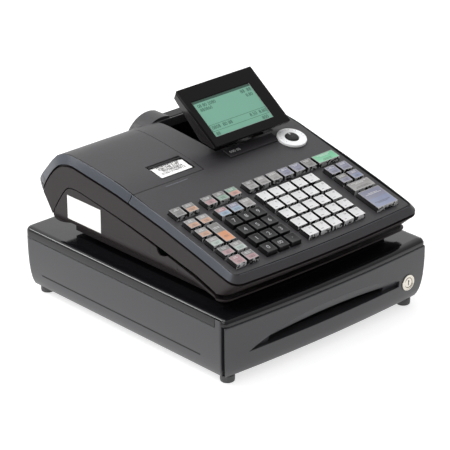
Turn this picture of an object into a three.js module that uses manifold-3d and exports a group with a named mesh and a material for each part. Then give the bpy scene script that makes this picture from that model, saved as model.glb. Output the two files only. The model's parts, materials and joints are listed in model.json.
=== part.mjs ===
// Electronic cash register standing on its cash drawer.
// Millimetres. +X is the operator's right, +Y points to the customer's side, +Z is up.
// The origin is on the counter, in the middle of the footprint.
import * as THREE from "three";
import Module from "manifold-3d";
import { mergeVertices } from "three/addons/utils/BufferGeometryUtils.js";

const wasm = await Module();
wasm.setup();

// ---------------------------------------------------------------- driving dimensions
const CENTRE_SHIFT = 3.55; // slides the model back, so that the origin is in the middle of its footprint
const GAP = 0.4; // clearance between pieces that touch
const FAR = 400; // reach of a cutting block past the object

const CABINET = { half: 205, front: 225, back: 225, bow: 7.2, corner: 12, bottom: 12, top: 108.5 };
const CABINET_SIDE = [[0, 10], [5, 7.4], [12, 5], [22, 3], [34, 1.5], [50, 0.5], [65, 0]]; // height, inset
const LIP_BOTTOM = 92; // lower edge of the cover's side lips
const LIP_END = -204; // front end of the side lips
const COVER_UNDERSIDE = 105.2;
const FRONT_SEAM = 97; // between the cover's front lip and the drawer front
const BAY = { half: 192, floor: 14.5, front: -216, back: 222 }; // the space that holds the drawer
const FOOT = { radius: 11, inset: 24, height: 12 };

const DRAWER = { half: 204.6, rim: 2, edge: 1.8, back: -210, floor: 20, top: 82 };
const TRAY = { half: 184, end: 128 };
const SCOOP = { bottom: 46.5, top: 90, floor: -220.6, rim: -236 };
const STEEL = 1.5;
const INSERT = { half: 180.5, front: -197, end: 124, bottom: 36, top: 80, wall: 2.5, divide: -60 };
const BILL_COMPARTMENTS = 4;
const COIN_CUPS = 5;
const CLIP_AXIS = { y: 116, z: 83 };
const LOCK = { x: 166, z: 47.6, flange: 12.5, sleeve: 10, rotor: 7.5 };

const BODY = { half: 188, front: 227, bow: 5, corner: 17 }; // the register's casing at its widest
const WALL = 3;
const BEVEL = 8; // width of the bevelled rim round the key deck
const LIP = { width: 1, arch: 3.2, start: -2, length: 240, rear: 0.8 }; // raised edge between bevel and deck
const GROOVE = { width: 1.8, depth: 1.5 }; // shadow line inside the lip
const WAIST_FRONT = 133.5; // height of the side band's lower edge at the front
const TONGUE = { outer: 6.6, inner: 8, foot: -6.5, top: 0, end: 182 };
const FRONT_RECESS = 23; // how far the side band's lower edge stands back under the deck's front
const BASE_TOP = 113; // underside of the lower case
const DECK_ANGLE = THREE.MathUtils.degToRad(14.4);
const DECK_AT_ORIGIN = 223.57; // height of the key deck's plane at Y = 0
const DECK_SLOPE = Math.tan(DECK_ANGLE);

const COVER = { left: -200, right: -41, front: -2, hingeY: 206, hingeZ: 181, barrel: 4.5, clear: 6.4 };
const PAPER = { x: -81, width: 60, rollRadius: 34, rollY: 96, rollZ: 190 };
const DISPLAY = { x: 68, y: 4.5, z: 247.6, half: 76.2, height: 109.4, lean: THREE.MathUtils.degToRad(35.5) };
const DISPLAY_HINGE = { y: 48, z: 239, radius: 7.5, half: 29 };
const HEAD = { x: 80, half: 48, front: 155, back: 181, bottom: 199, top: 239.5 };

const KEY = { top: 19.2, base: 20.4, rise: 7.3, below: 7, flange: 22.4, hole: 21.2 };
const PITCH = { x: 23.8, y: 24.4 };
const KEY_ORIGIN_Y = -92.6; // where the keyboard's first row starts on the deck

// ---------------------------------------------------------------- solids
function solid(geometry) {
  const bare = geometry.clone();
  bare.deleteAttribute("normal");
  bare.deleteAttribute("uv");
  const merged = mergeVertices(bare, 1e-4);
  const vertProperties = Float32Array.from(merged.attributes.position.array);
  const triVerts = Uint32Array.from(merged.index.array);
  return new wasm.Manifold(new wasm.Mesh({ numProp: 3, vertProperties, triVerts }));
}

function geometryOf(body) {
  const mesh = body.getMesh();
  const geometry = new THREE.BufferGeometry();
  geometry.setAttribute("position", new THREE.BufferAttribute(Float32Array.from(mesh.vertProperties), 3));
  geometry.setIndex(new THREE.BufferAttribute(Uint32Array.from(mesh.triVerts), 1));
  geometry.computeVertexNormals();
  return geometry;
}

function block(x0, x1, y0, y1, z0, z1) {
  const geometry = new THREE.BoxGeometry(x1 - x0, y1 - y0, z1 - z0);
  return solid(geometry.translate((x0 + x1) / 2, (y0 + y1) / 2, (z0 + z1) / 2));
}

// A block cut from both sides of the middle plane at once.
function pair(x0, x1, y0, y1, z0, z1) {
  return block(x0, x1, y0, y1, z0, z1).add(block(-x1, -x0, y0, y1, z0, z1));
}

function rod(axis, radius, length, x, y, z, sides = 32) {
  const geometry = new THREE.CylinderGeometry(radius, radius, length, sides);
  if (axis === "x") geometry.rotateZ(Math.PI / 2);
  if (axis === "z") geometry.rotateX(Math.PI / 2);
  return solid(geometry.translate(x, y, z));
}

// Extrudes a closed outline of [x, z] points along Y, from y0 to y1.
function alongY(outline, y0, y1) {
  const shape = new THREE.Shape(outline.map(([x, z]) => new THREE.Vector2(x, z)));
  const geometry = new THREE.ExtrudeGeometry(shape, { depth: y1 - y0, bevelEnabled: false });
  return solid(geometry.rotateX(Math.PI / 2).translate(0, y1, 0));
}

// Extrudes a closed outline of [y, z] points along X, from x0 to x1.
function alongX(outline, x0, x1) {
  const shape = new THREE.Shape(outline.map(([y, z]) => new THREE.Vector2(y, z)));
  const geometry = new THREE.ExtrudeGeometry(shape, { depth: x1 - x0, bevelEnabled: false });
  return solid(geometry.rotateX(Math.PI / 2).rotateZ(Math.PI / 2).translate(x0, 0, 0));
}

// A square-based key cap: a frustum between two heights.
function frustum(x, y, width, depth, taper, z0, z1) {
  const geometry = new THREE.BoxGeometry(width, depth, z1 - z0);
  const place = geometry.attributes.position;
  for (let i = 0; i < place.count; i += 1) {
    if (place.getZ(i) > 0) {
      place.setX(i, place.getX(i) * (1 - taper / width));
      place.setY(i, place.getY(i) * (1 - taper / depth));
    }
  }
  return solid(geometry.translate(x, y, (z0 + z1) / 2));
}

// ---------------------------------------------------------------- lofted shells
// A ring is the right half of a level or wavy outline, from the front to the back, as [x, y, z] points.
// Rings of equal length are skinned into one closed body, mirrored about X = 0.
function loft(rings) {
  const count = rings[0].length;
  const positions = [];
  const triangles = [];
  for (const ring of rings) {
    for (const [x, y, z] of ring) positions.push(x, y, z);
    for (const [x, y, z] of [...ring].reverse()) positions.push(-x, y, z);
  }
  const loop = count * 2;
  for (let level = 0; level + 1 < rings.length; level += 1) {
    for (let i = 0; i < loop; i += 1) {
      const a = level * loop + i;
      const b = level * loop + ((i + 1) % loop);
      triangles.push(a, b, b + loop, a, b + loop, a + loop);
    }
  }
  const roof = (rings.length - 1) * loop;
  for (let i = 0; i + 1 < count; i += 1) {
    const right = i;
    const left = loop - 1 - i;
    triangles.push(left, right + 1, right, left, left - 1, right + 1);
    triangles.push(roof + left, roof + right, roof + right + 1);
    triangles.push(roof + left, roof + right + 1, roof + left - 1);
  }
  const geometry = new THREE.BufferGeometry();
  geometry.setAttribute("position", new THREE.Float32BufferAttribute(positions, 3));
  geometry.setIndex(triangles);
  return solid(geometry);
}

function arc(cx, cy, radius, from, to, steps) {
  const points = [];
  for (let i = 0; i <= steps; i += 1) {
    const angle = THREE.MathUtils.degToRad(from + ((to - from) * i) / steps);
    points.push([cx + radius * Math.cos(angle), cy + radius * Math.sin(angle)]);
  }
  return points;
}

// The bowed front edge and its rounded corner, right half, from the middle outwards.
function bowedFront(half, front, bow, corner) {
  const edge = (x) => -front - bow * (1 - (x / half) ** 2);
  const run = [0.12, 0.4, 0.68, 0.88].map((share) => share * (half - corner));
  const start = half - corner;
  return [...run.map((x) => [x, edge(x)]), ...arc(start, edge(start) + corner, corner, -90, 0, 4)];
}

// ---------------------------------------------------------------- cabinet and drawer
function cabinetRing(inset, z, front = CABINET.front, bow = CABINET.bow, frontCorner = CABINET.corner) {
  const half = CABINET.half - inset;
  const corner = Math.max(frontCorner - inset, 2);
  const rear = Math.max(CABINET.corner - inset, 2);
  const outline = [
    ...bowedFront(half, front - inset, bow, corner),
    ...arc(half - rear, CABINET.back - inset - rear, rear, 0, 90, 4),
  ];
  return outline.map(([x, y]) => [x, y, z]);
}

function cabinetShell() {
  const ring = (inset, z) => cabinetRing(inset, z, -BAY.front, 0, 3);
  const sides = CABINET_SIDE.map(([height, inset]) => ring(inset, CABINET.bottom + height));
  const body = loft([...sides, ring(0, COVER_UNDERSIDE - GAP)]);
  const underLips = block(-FAR, FAR, LIP_END - GAP, FAR, LIP_BOTTOM - GAP, FAR);
  const bayLine = [[-FAR, BAY.floor], [212.5, BAY.floor], [219, 34], [BAY.back, 58]];
  bayLine.push([BAY.back, FAR], [-FAR, FAR]);
  const bay = alongX(bayLine, -BAY.half, BAY.half);
  return body.subtract(underLips).subtract(bay);
}

function cabinetCover() {
  const levels = [[0, LIP_BOTTOM], [0, 102], [1.6, 105.6], [4.4, 107.6], [9, CABINET.top]];
  const outside = loft(levels.map(([inset, z]) => cabinetRing(inset, z, CABINET.front, CABINET.bow, 8)));
  const inside = loft([cabinetRing(2.8, 60), cabinetRing(2.8, COVER_UNDERSIDE)]);
  const belowLip = block(-FAR, FAR, -FAR, LIP_END, 60, FRONT_SEAM + GAP);
  const besidePosts = pair(BAY.half - GAP, FAR, BAY.front - GAP, LIP_END, 60, COVER_UNDERSIDE);
  return outside.subtract(inside).subtract(belowLip).subtract(besidePosts);
}

// The lens-shaped finger scoop in the drawer front, whose floor slopes in towards its lower edge,
// and the slot for notes and cheques along that edge.
function fingerScoop() {
  const shape = new THREE.Shape();
  shape.moveTo(-158, SCOOP.bottom);
  shape.lineTo(147, SCOOP.bottom);
  shape.lineTo(147, 55.6);
  shape.bezierCurveTo(80, 80, -70, 88, -158, SCOOP.bottom);
  const outline = shape.getPoints(20).slice(0, -1).map((point) => [point.x, point.y]);
  const foot = SCOOP.bottom - 1;
  const floor = [[-FAR, foot], [SCOOP.floor, foot], [SCOOP.rim, SCOOP.top], [-FAR, SCOOP.top]];
  return alongY(outline, -FAR, -200).intersect(alongX(floor, -FAR, FAR));
}

function slotOutline() {
  const shape = new THREE.Shape();
  shape.moveTo(-118, SCOOP.bottom);
  shape.lineTo(116, SCOOP.bottom);
  shape.lineTo(116, 55);
  shape.quadraticCurveTo(0, 69, -118, 56);
  return shape.getPoints(12).map((point) => [point.x, point.y]);
}

function drawerFront() {
  const top = FRONT_SEAM - GAP;
  const ring = (inset, z) => {
    const half = DRAWER.half - inset;
    const outline = bowedFront(half, CABINET.front - inset, CABINET.bow, DRAWER.edge);
    outline.push([half, -CABINET.front + inset + DRAWER.rim]);
    return outline.map(([x, y]) => [x, y, z]);
  };
  const levels = CABINET_SIDE.map(([height, inset]) => ring(inset, CABINET.bottom + 1 + height));
  const skin = loft([...levels, ring(0, top - 1.5), ring(1.2, top)]);
  const behind = DRAWER.rim - 0.5 - CABINET.front;
  const foot = CABINET.bottom + 1;
  const coreFront = CABINET_SIDE.slice(2).map(([height, inset]) => [behind + inset, foot + height]);
  const coreRear = [[behind, 92], [DRAWER.back, 92], [DRAWER.back, DRAWER.floor]];
  coreRear.push([behind + 6.5, DRAWER.floor]);
  const core = alongX([...coreFront, ...coreRear].reverse(), -TRAY.half, TRAY.half);
  const slot = alongY(slotOutline(), -FAR, FAR);
  const lockHole = rod("y", LOCK.sleeve + GAP, 80, LOCK.x, -225, LOCK.z).add(
    rod("y", LOCK.flange + GAP, 40, LOCK.x, -246, LOCK.z),
  );
  return skin.add(core).subtract(fingerScoop()).subtract(slot).subtract(lockHole);
}

function drawerTray() {
  const { floor, top } = DRAWER;
  const front = DRAWER.back + GAP;
  const outside = block(-TRAY.half, TRAY.half, front, TRAY.end, floor, top);
  const inside = block(-TRAY.half + STEEL, TRAY.half - STEEL, -FAR, TRAY.end - STEEL, floor + STEEL, FAR);
  const flanges = pair(TRAY.half - STEEL, TRAY.half + 5.5, front, TRAY.end, 65.9, 67.4);
  return outside.subtract(inside).add(flanges);
}

function compartments(count, y0, y1) {
  const { half, wall } = INSERT;
  const clear = (half * 2 - wall * (count + 1)) / count;
  return Array.from({ length: count }, (_, i) => {
    const x0 = -half + wall + i * (clear + wall);
    return { x: x0 + clear / 2, box: [x0, x0 + clear, y0, y1, INSERT.bottom + wall, FAR] };
  });
}

const BILLS = compartments(BILL_COMPARTMENTS, INSERT.divide + INSERT.wall, INSERT.end - 13);
const COINS = compartments(COIN_CUPS, INSERT.front + INSERT.wall, INSERT.divide);

function cashInsert() {
  const { half, front, end, bottom, top } = INSERT;
  let body = block(-half, half, front, end, bottom, top);
  body = body.add(pair(half - 4, half, front, end, DRAWER.floor + STEEL + GAP, bottom));
  for (const { box } of [...BILLS, ...COINS]) body = body.subtract(block(...box));
  for (const { x } of BILLS) {
    body = body.add(block(x - 13, x - 9.6, 111, 121, top - 4, 88));
    body = body.add(block(x + 9.6, x + 13, 111, 121, top - 4, 88));
    body = body.subtract(rod("x", 1.8, 40, x, CLIP_AXIS.y, CLIP_AXIS.z, 16));
  }
  return body;
}

function billClip(x) {
  const { y, z } = CLIP_AXIS;
  const arm = [[y, z + 1], [y - 30, 74], [y - 96, 46], [y - 104, 47], [y - 107, 50], [y - 108.4, 49.2],
    [y - 105, 45.4], [y - 96.4, 44.2], [y - 30, 72.2], [y, z - 1]];
  const barrel = rod("x", 2.8, 18.4, x, y, z, 20);
  const pin = rod("x", 1.3, 25, x, y, z, 16);
  const window = block(x - 4, x + 4, y - 88, y - 22, 30, 90);
  return alongX(arm.reverse(), x - 7.5, x + 7.5).subtract(window).add(barrel).add(pin);
}

function lockBody() {
  const face = -228.7;
  const flange = rod("y", LOCK.flange, 2.4, LOCK.x, face + 1.2, LOCK.z, 40);
  const sleeve = rod("y", LOCK.sleeve, 20, LOCK.x, face + 11, LOCK.z, 40);
  return flange.add(sleeve).subtract(rod("y", LOCK.rotor + GAP, FAR, LOCK.x, face, LOCK.z, 32));
}

function lockCylinder() {
  const face = -228.2;
  const rotor = rod("y", LOCK.rotor, 24, LOCK.x, face + 12, LOCK.z, 32);
  const cam = block(LOCK.x - 4, LOCK.x + 4, face + 22, face + 25, LOCK.z - 7, LOCK.z + 15);
  const keyway = block(LOCK.x - 0.8, LOCK.x + 0.8, face - 2, face + 9, LOCK.z - 4.2, LOCK.z + 4.2);
  return rotor.add(cam).subtract(keyway);
}

function foot(x, y) {
  const { radius, height } = FOOT;
  const points = [[0, 0], [radius - 1.5, 0], [radius, 1.5], [radius, height - GAP], [0, height - GAP]];
  const geometry = new THREE.LatheGeometry(points.map(([r, h]) => new THREE.Vector2(r, h)), 28);
  return solid(geometry.rotateX(Math.PI / 2).translate(x, y, 0));
}

function slideRail(side) {
  const bar = block(184.8, BAY.half - GAP, -205, 200, 52, 65.4);
  const channel = block(180, 188.4, -FAR, FAR, 55, 62.5);
  const rail = bar.subtract(channel);
  return side > 0 ? rail : rail.mirror([1, 0, 0]);
}

function drawerLatch() {
  const floor = BAY.floor + GAP;
  const frame = block(-34, 34, 146, 196, floor, floor + 2.5);
  const coil = rod("y", 15, 40, 0, 170, 36, 28);
  const cradle = block(-20, 20, 150, 190, floor, 36);
  const hook = block(-6, 6, TRAY.end + 2, 152, 44, 50);
  return frame.add(cradle).add(coil).add(hook);
}

// ---------------------------------------------------------------- register casing
const plane = (y) => DECK_AT_ORIGIN + DECK_SLOPE * y;

// The deck's side view from the rear of the front corner to the foot of the back, as [y, z] points.
const DECK_LINE = [
  [-196, plane(-196)], [-150, plane(-150)], [-80, plane(-80)], [-30, plane(-30)], [22, plane(22)],
  [40, 232.2], [60, 235], [90, 238.8], [115, 241.4], [133, 242.4], [146, 241.6], [158, 238.8],
  [169, 233.6], [181, 222.5], [194, 207.5], [206, 193.4], [211, 185.6], [211.6, 180.6], [205, 165.5],
];
// Behind the hump's top the bevelled rim widens, and its lower edge has points of its own.
const RIM_REAR = [
  [113, 230.3], [126, 231.8], [137, 230.6], [148, 227.6], [157.5, 223], [168, 214.2],
  [178, 202.8], [187, 190], [192, 181], [194, 176.6], [195, 173.4],
];
// The lower edge of the side band, met by the lower case, which it hooks round at the rear.
const WAIST_LINE = [
  [-186, 135.2], [-145, 148.7], [-92, 160.3], [-49, 169.4], [-5, 177.9], [30, 183.6], [62, 188.3],
  [90, 192.4], [107, 195], [114, 195.5], [122, 195.6], [130, 195.1], [136.5, 193.2], [142.4, 188.8],
  [149.3, 180.3], [157.8, 168.5], [165, 157.1], [170.7, 147.5], [174.3, 139.6],
];

// Moves a side-view line towards its inner side by a distance, constant or worked out from y.
function offsetLine(line, distance) {
  return line.map(([y, z], i) => {
    const before = line[Math.max(i - 1, 0)];
    const after = line[Math.min(i + 1, line.length - 1)];
    const run = Math.hypot(after[0] - before[0], after[1] - before[1]);
    const amount = typeof distance === "function" ? distance(y) : distance;
    return [y + (amount * (after[1] - before[1])) / run, z - (amount * (after[0] - before[0])) / run];
  });
}

const bevelDrop = (y) => THREE.MathUtils.mapLinear(THREE.MathUtils.clamp(y, -60, 30), -60, 30, 8, 11.5);
const shiftLine = (line, dz) => line.map(([y, z]) => [y, z + dz]);

// The sides of the rim rise in a slight arch above the flat deck.
function arch(y) {
  const share = THREE.MathUtils.clamp((LIP.start - y) / LIP.length, 0, 1);
  return LIP.arch * Math.sin(Math.PI * share);
}
const LIP_LINE = DECK_LINE.map(([y, z], i) => [i === DECK_LINE.length - 1 ? y + LIP.rear : y, z + arch(y)]);
const RIM_LINE = [
  ...offsetLine(DECK_LINE, bevelDrop).slice(0, -RIM_REAR.length).map(([y, z]) => [y, z + 0.7 * arch(y)]),
  ...RIM_REAR,
];

// One ring of the casing: its inset, its side-view line, the height of its front and front corner,
// and how far its front stands back.
function casingRing(inset, line, frontHeight, recess = 0) {
  const half = BODY.half - inset;
  const front = bowedFront(half, BODY.front - inset - recess, BODY.bow, Math.max(BODY.corner - inset, 3));
  const sides = line.map(([y, z]) => [half, y, z]);
  return [...front.map(([x, y]) => [x, y, frontHeight(y)]), ...sides];
}

const rimHeight = (y) => plane(y + 2) - 8.3 + 0.7 * arch(y);
const lipHeight = (y) => plane(y) + arch(y);

// The whole upper shell: key deck, hump and bevelled rim in one skin, before it is divided.
function upperShell() {
  const lipEnd = BEVEL + LIP.width;
  const sunk = offsetLine(DECK_LINE, GROOVE.depth);
  const sunkFront = (y) => plane(y) - GROOVE.depth;
  const outside = loft([
    casingRing(0, RIM_LINE, rimHeight),
    casingRing(BEVEL, LIP_LINE, lipHeight),
    casingRing(lipEnd, offsetLine(LIP_LINE, 0.1), (y) => lipHeight(y) - 0.1),
    casingRing(lipEnd + 0.3, sunk, sunkFront),
    casingRing(lipEnd + GROOVE.width, shiftLine(sunk, -0.1), sunkFront),
    casingRing(lipEnd + GROOVE.width + 0.3, DECK_LINE, plane),
  ]);
  const innerRim = offsetLine(RIM_LINE, WALL);
  const innerDeck = offsetLine(DECK_LINE, WALL);
  const inside = loft([
    casingRing(WALL, shiftLine(innerRim, -60), (y) => rimHeight(y) - 60),
    casingRing(WALL, innerRim, (y) => rimHeight(y) - 1),
    casingRing(BEVEL + WALL, innerDeck, (y) => plane(y) - WALL),
  ]);
  return { outside, inside };
}

// The trough that the display's neck stands in, as an [x, z] outline, grown by the wall when needed.
function trough(grow) {
  const outline = [[0 - grow, 260], [4 - grow, 240], [15 - grow, 213 - grow], [121 + grow, 213 - grow],
    [132 + grow, 240], [136 + grow, 260]];
  return alongY(outline.reverse(), 25 - grow, 150 + grow);
}

// The rounded cheek beside the customer display.
function cheek(y0, y1) {
  const curve = new THREE.CubicBezierCurve(
    new THREE.Vector2(-24, 224), new THREE.Vector2(-14, 238),
    new THREE.Vector2(2, 247), new THREE.Vector2(22, 244.8),
  );
  const roof = curve.getPoints(12).map((point) => [point.x, point.y]);
  return alongY([...roof, [31, 242.5], [31, 205], [-24, 205]].reverse(), y0, y1);
}

const HINGE_ROD = (radius, x0, x1) =>
  rod("x", radius, x1 - x0, (x0 + x1) / 2, COVER.hingeY, COVER.hingeZ, 28);

function topCase() {
  const { outside, inside } = upperShell();
  const shell = outside.add(cheek(154, 188)).subtract(trough(0)).subtract(inside.subtract(trough(WALL)));
  const bay = block(COVER.left, COVER.right + GAP, COVER.front - GAP, FAR, COVER.hingeZ - GAP, FAR);
  const hinge = HINGE_ROD(COVER.clear, COVER.left, COVER.right + GAP);
  const room = HEAD.half + 0.8;
  const head = block(HEAD.x - room, HEAD.x + room, HEAD.front - 0.8, HEAD.back + 0.8, 150, FAR);
  const neck = block(DISPLAY.x - 30.5, DISPLAY.x + 30.5, 37, 61, 150, 260);
  let body = shell.subtract(bay).subtract(hinge).subtract(head).subtract(neck);
  for (const cell of keyCells()) {
    body = body.subtract(onDeck(block(...cellBox(cell, KEY.hole - PITCH.x, -20, 40))));
  }
  return body.subtract(onDeck(rod("z", MODE.rotor + 0.6, 60, MODE.x, MODE.y, 0, 28)));
}

function printerCover() {
  const { outside, inside } = upperShell();
  const part = block(COVER.left, COVER.right - GAP, COVER.front + GAP, FAR, COVER.hingeZ, FAR);
  const window = block(PAPER.x - 33, PAPER.x + 33, 8, 45, 150, FAR);
  const skin = outside.subtract(inside).intersect(part).subtract(window);
  return skin.add(HINGE_ROD(COVER.barrel, COVER.left, COVER.right - GAP).intersect(outside));
}

// The tongue that stands behind the groove under the rim, on a web from the side band's wall.
function tongue() {
  const ring = (inset, dz) => casingRing(inset, shiftLine(RIM_LINE, dz), (y) => rimHeight(y) + dz);
  const tube = (outer, z0, z1) => {
    const hollow = loft([ring(TONGUE.inner, z0 - 1), ring(TONGUE.inner, z1 + 1)]);
    return loft([ring(outer, z0), ring(outer, z1)]).subtract(hollow);
  };
  const wall = tube(TONGUE.outer, TONGUE.foot, TONGUE.top);
  const web = tube(WALL - 1, TONGUE.foot, TONGUE.foot + 1.5);
  return wall.add(web).subtract(block(-FAR, FAR, TONGUE.end, FAR, 100, FAR));
}

function middleCase() {
  const groove = 4;
  const reach = 12;
  const top = shiftLine(RIM_LINE, -groove);
  const slope = FRONT_RECESS / 30;
  const outside = loft([
    casingRing(0.3, WAIST_LINE, () => WAIST_FRONT, FRONT_RECESS),
    casingRing(0.3, top, (y) => rimHeight(y) - groove),
  ]);
  const innerWaist = shiftLine(WAIST_LINE, -reach).map(([y, z]) => [Math.max(y, -170), z]);
  const inside = loft([
    casingRing(WALL, innerWaist, () => WAIST_FRONT - reach, FRONT_RECESS + reach * slope),
    casingRing(WALL, shiftLine(top, reach), (y) => rimHeight(y) + reach, -reach * slope),
  ]);
  const openRear = block(-BODY.half + TONGUE.inner, BODY.half - TONGUE.inner, 100, FAR, 100, FAR);
  return outside.subtract(inside).add(tongue()).subtract(openRear);
}

// The gap under the side band widens towards the front.
const seamGap = (y) => THREE.MathUtils.mapLinear(THREE.MathUtils.clamp(y, -150, 80), -150, 80, 6, 1.4);
const LOWER_EDGE = offsetLine(WAIST_LINE, seamGap);
const SHOULDER = LOWER_EDGE.map(([y, z]) => [y, Math.min(z - 1.5, 148)]);
const SHOULDER_FRONT = 124;
// The underside curves in to the plinth: each pair is an inset and a share of the shoulder's height.
const UNDERSIDE = [[24, 0], [24, 0.42], [21, 0.46], [12, 0.5], [7.5, 0.57], [4, 0.69], [1.6, 0.83], [0.4, 1]];

// A ring of the lower case at a share of the height between the base and its shoulder.
function underRing(inset, share, wall = 0) {
  const z = (height) => THREE.MathUtils.lerp(BASE_TOP, height, share) + wall;
  const back = LOWER_EDGE.at(-1)[0] - inset - wall;
  const corner = Math.max(BODY.corner - inset - wall, 3);
  const front = inset + wall + FRONT_RECESS - BODY.front + corner + 1;
  const line = SHOULDER.map(([y, height]) => [THREE.MathUtils.clamp(y, front, back), z(height)]);
  return casingRing(inset + wall, line, () => z(SHOULDER_FRONT), FRONT_RECESS);
}

function lowerCase() {
  const seamFront = SHOULDER_FRONT + 1.5;
  const outside = loft([
    ...UNDERSIDE.map(([inset, share]) => underRing(inset, share)),
    casingRing(0.4, LOWER_EDGE, () => seamFront, FRONT_RECESS),
  ]);
  const above = shiftLine(LOWER_EDGE, 20).map(([y, z]) => [y - WALL, z]);
  const inside = loft([
    ...UNDERSIDE.map(([inset, share]) => underRing(inset, share, WALL)),
    casingRing(WALL + 0.4, above, () => seamFront + 20, FRONT_RECESS),
  ]);
  const pads = pair(120, 146, -150, -124, CABINET.top + GAP, BASE_TOP + 1)
    .add(pair(120, 146, 100, 126, CABINET.top + GAP, BASE_TOP + 1));
  const panelHalf = BODY.half - TONGUE.inner - GAP;
  // The rear panel slopes up to a flange that closes the casing under the hump's rear edge.
  const panelLine = [[168.6, 138], [172, 138], [190.9, 167], [203.2, 163.4], [203.2, 165.2]];
  panelLine.push([192.2, 169], [188.6, 169]);
  const backPanel = alongX(panelLine, -panelHalf, panelHalf);
  const notchLine = [[-86, 170], [-85, 156.5], [-77, 153.4], [-70, 152.6], [-65, 156], [-62, 164]];
  const notch = alongX(notchLine, -FAR, -170);
  const inlet = block(-132, -104, 120, FAR, 142.6, 163.4);
  return outside.subtract(inside).add(pads).add(backPanel).subtract(inlet).subtract(notch);
}

function powerInlet() {
  const shell = block(-131.4, -104.6, 156, 182, 143, 163);
  const socket = block(-126, -110, 164, FAR, 148, 158);
  const pins = rod("y", 1.3, 14, -122, 171, 153, 12).add(rod("y", 1.3, 14, -114, 171, 153, 12));
  return shell.subtract(socket).add(pins);
}

// ---------------------------------------------------------------- inside the register
function printerMechanism() {
  const frame = block(-118, -44.5, 6, 58, 150, 206);
  const cradle = block(-113, -49, 14, 70, 196, 220);
  const trough = rod("x", 8, 64, PAPER.x, 30, 212, 28);
  const legs = block(-118, -110, 6, 58, 126.6, 150).add(block(-52, -44.5, 6, 58, 126.6, 150));
  const bucket = block(-116, -46, 56, 134, 142, 178).subtract(
    rod("x", PAPER.rollRadius + 1.5, PAPER.width + 4, PAPER.x, PAPER.rollY, PAPER.rollZ, 36),
  );
  return frame.subtract(cradle).subtract(trough).add(legs).add(bucket);
}

function platenRoller() {
  return rod("x", 6, 61, PAPER.x, 30, 212, 28).add(rod("x", 2, 63.4, PAPER.x, 30, 212, 16));
}

function paperRoll() {
  const roll = rod("x", PAPER.rollRadius, PAPER.width - 2, PAPER.x, PAPER.rollY, PAPER.rollZ, 44);
  return roll.subtract(rod("x", 6.5, FAR, PAPER.x, PAPER.rollY, PAPER.rollZ, 24));
}

// The strip of paper that lies in the window, from the platen to its torn end.
function receiptPaper() {
  const thickness = 0.5;
  const lay = (y) => plane(y) - 1.6;
  const top = [
    [10.5, lay(10.5) + 0.9], [20, lay(20)], [34, lay(34) - 0.2],
    [41, 228.4], [42.6, 222], [42.6, 214],
  ];
  const under = offsetLine(top, thickness).reverse();
  return alongX([...top, ...under].reverse(), PAPER.x - PAPER.width / 2, PAPER.x + PAPER.width / 2);
}

function mainBoard() {
  const board = block(-156, 156, -140, 120, 124, 125.8);
  const chips = block(-20, 20, -60, -20, 125, 130).add(block(60, 110, 20, 60, 125, 146));
  return board.add(chips);
}

// ---------------------------------------------------------------- displays
function onDisplay(body) {
  const place = new THREE.Matrix4().makeRotationX(DISPLAY.lean).setPosition(DISPLAY.x, DISPLAY.y, DISPLAY.z);
  return body.transform(place.elements);
}

// The display's side view as [up, out] points, between two depths behind its face.
function displayBody(inset) {
  const { height, half } = DISPLAY;
  const outline = [[inset, -inset], [height - inset, -inset], [height - 3 - inset, -14.6 + inset],
    [29, -23 + inset], [2 + inset, -9.2 + inset]];
  return alongX(outline.reverse(), -half + inset, half - inset);
}

const SCREEN = { x0: -65, x1: 53, y0: 15.5, y1: 83.5 };
const BEZEL_DEPTH = 5;

function displayBezel() {
  const slab = block(-FAR, FAR, -FAR, FAR, -BEZEL_DEPTH, FAR);
  const opening = block(SCREEN.x0, SCREEN.x1, SCREEN.y0, SCREEN.y1, -FAR, FAR);
  return onDisplay(displayBody(0).intersect(slab).subtract(opening));
}

function displayPanel() {
  const panel = block(SCREEN.x0 - 2, SCREEN.x1 + 2, SCREEN.y0 - 2, SCREEN.y1 + 2, -8, -BEZEL_DEPTH - GAP);
  const glass = block(SCREEN.x0 + GAP, SCREEN.x1 - GAP, SCREEN.y0 + GAP, SCREEN.y1 - GAP, -6, -1.6);
  return onDisplay(panel.add(glass));
}

function displayBack() {
  const slab = block(-FAR, FAR, -FAR, FAR, -FAR, -BEZEL_DEPTH - GAP);
  const hollow = displayBody(2.5).intersect(block(-FAR, FAR, 5, FAR, -FAR, FAR));
  const shell = onDisplay(displayBody(0).intersect(slab).subtract(hollow));
  const { y, z, radius, half } = DISPLAY_HINGE;
  const lug = (x0, x1) => {
    const eye = rod("x", radius, x1 - x0, (x0 + x1) / 2, y, z, 28);
    return eye.add(block(x0, x1, y - 5, y + 6, z, z + 21)).subtract(onDisplay(hollow));
  };
  const left = DISPLAY.x - half;
  const right = DISPLAY.x + half;
  return shell.add(lug(left - 13, left - GAP)).add(lug(right + GAP, right + 13));
}

function displayNeck() {
  const { y, z, radius, half } = DISPLAY_HINGE;
  const barrel = rod("x", radius, half * 2 - GAP * 2, DISPLAY.x, y, z, 28);
  const post = block(DISPLAY.x - half + GAP, DISPLAY.x + half - GAP, 39, 57, 178, z);
  const flange = block(DISPLAY.x - half - 8, DISPLAY.x + half + 8, 34, 64, 178, 182);
  return barrel.add(post).add(flange);
}

function customerMast() {
  const tube = rod("z", 9, 38, HEAD.x, 168, 178, 28);
  return tube.add(block(HEAD.x - 16, HEAD.x + 16, 158, 178, HEAD.bottom - 4, HEAD.bottom - GAP));
}

function customerHead() {
  const { x, half, front, back, bottom, top } = HEAD;
  const outline = [
    [front, bottom], [back, bottom], [back, top - 8],
    [back - 5, top], [front + 2, top], [front, top - 2],
  ];
  const body = alongX(outline.reverse(), x - half, x + half);
  return body.subtract(block(x - half + 7, x + half - 7, back - 2, FAR, bottom + 8, top - 9.5));
}

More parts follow.
